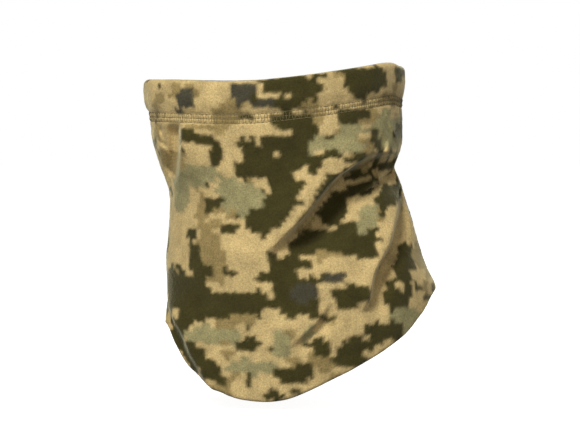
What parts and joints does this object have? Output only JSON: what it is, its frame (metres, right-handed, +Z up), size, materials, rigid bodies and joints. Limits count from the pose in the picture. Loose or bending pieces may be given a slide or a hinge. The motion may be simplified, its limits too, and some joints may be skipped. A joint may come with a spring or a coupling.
{
  "type": "fleece neck gaiter",
  "caption": "Fleece tube worn round the neck and lower face, with a puffed, coverstitched upper hem, folds at the nape and a slanting lower edge.",
  "frame": {"origin": "centre of the upper opening, in the plane of the rolled rim", "axes": "+Z up along the wearer's head, -X towards the wearer's nose and throat, +X towards the nape"},
  "size_m": [0.2134, 0.152, 0.2492],
  "materials": {
    "camo_fleece": "soft brushed polyester pile fleece, printed in a blocky four-tone field pattern",
    "hem_thread": "sand-coloured spun polyester sewing thread"
  },
  "bodies": {
    "root": {"fleece_panel": "camo_fleece", "hem_turnback": "camo_fleece", "seam_allowance": "camo_fleece", "overlock_thread": "hem_thread", "needle_thread_upper": "hem_thread", "needle_thread_middle": "hem_thread", "needle_thread_lower": "hem_thread", "cover_thread": "hem_thread", "looper_thread": "hem_thread"}
  },
  "joints": []
}
